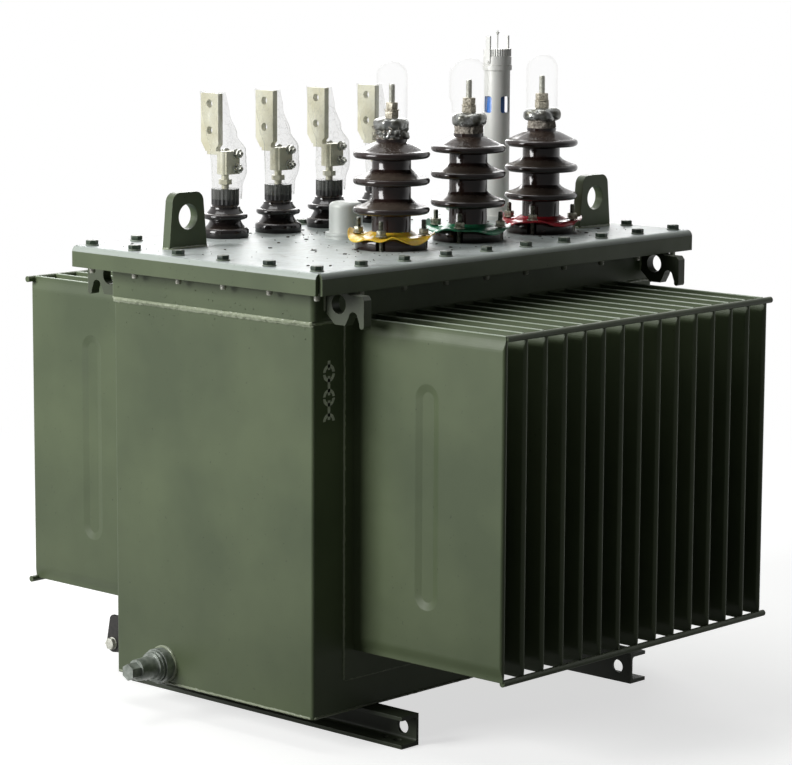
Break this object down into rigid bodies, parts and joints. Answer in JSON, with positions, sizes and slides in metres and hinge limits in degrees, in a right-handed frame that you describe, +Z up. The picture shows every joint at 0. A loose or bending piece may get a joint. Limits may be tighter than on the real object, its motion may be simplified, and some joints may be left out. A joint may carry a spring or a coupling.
{
  "type": "oil-filled distribution transformer",
  "caption": "Sealed oil-filled distribution transformer with a corrugated tank, porcelain bushings under clear covers, a filler, a level gauge and channel feet.",
  "frame": {"origin": "on the ground, midway between the four foot holes and under the middle of the tank", "axes": "+X along the tank away from the drain valve, +Y from the high-voltage side to the low-voltage side, +Z up"},
  "size_m": [0.925, 1.043, 1.055],
  "materials": {
    "olive_paint": "satin",
    "brown_porcelain": "gloss",
    "yellow_plastic": "gloss",
    "green_plastic": "gloss",
    "red_plastic": "gloss",
    "terminal_metal": "satin",
    "clear_plastic": "gloss",
    "film": "gloss",
    "palm_metal": "satin",
    "black_rubber": "matte",
    "silver_metal": "satin",
    "blue_plastic": "gloss",
    "zinc_steel": "satin"
  },
  "bodies": {
    "root": {"tank": "olive_paint", "frame_band": "olive_paint", "frame_flange": "olive_paint", "lid_gasket": "black_rubber", "lid": "olive_paint", "hv_wall": "olive_paint", "hv_fins": "olive_paint", "hv_fin_rods": "olive_paint", "lv_wall": "olive_paint", "lv_fins": "olive_paint", "lv_fin_rods": "olive_paint", "channel_left": "olive_paint", "channel_right": "olive_paint", "lifting_lug_left": "olive_paint", "lifting_lug_right": "olive_paint", "hv_side_ears": "olive_paint", "lv_side_ears": "olive_paint", "hv_porcelain_1": "brown_porcelain", "hv_porcelain_2": "brown_porcelain", "hv_porcelain_3": "brown_porcelain", "hv_phase_collar_1": "yellow_plastic", "hv_phase_collar_2": "green_plastic", "hv_phase_collar_3": "red_plastic", "hv_terminal_1": "terminal_metal", "hv_terminal_2": "terminal_metal", "hv_terminal_3": "terminal_metal", "hv_clear_cover_1": "clear_plastic", "hv_clear_cover_2": "clear_plastic", "hv_clear_cover_3": "clear_plastic", "lv_porcelain_1": "brown_porcelain", "lv_porcelain_2": "brown_porcelain", "lv_porcelain_3": "brown_porcelain", "lv_porcelain_4": "brown_porcelain", "lv_sleeves": "black_rubber", "lv_terminal_1": "palm_metal", "lv_terminal_2": "palm_metal", "lv_terminal_3": "palm_metal", "lv_terminal_4": "palm_metal", "lv_film_bags": "film", "filler_cap": "silver_metal", "gauge_tube": "silver_metal", "gauge_float": "blue_plastic", "gauge_head": "silver_metal", "drain_valve": "olive_paint", "earth_terminal": "zinc_steel"}
  },
  "joints": []
}
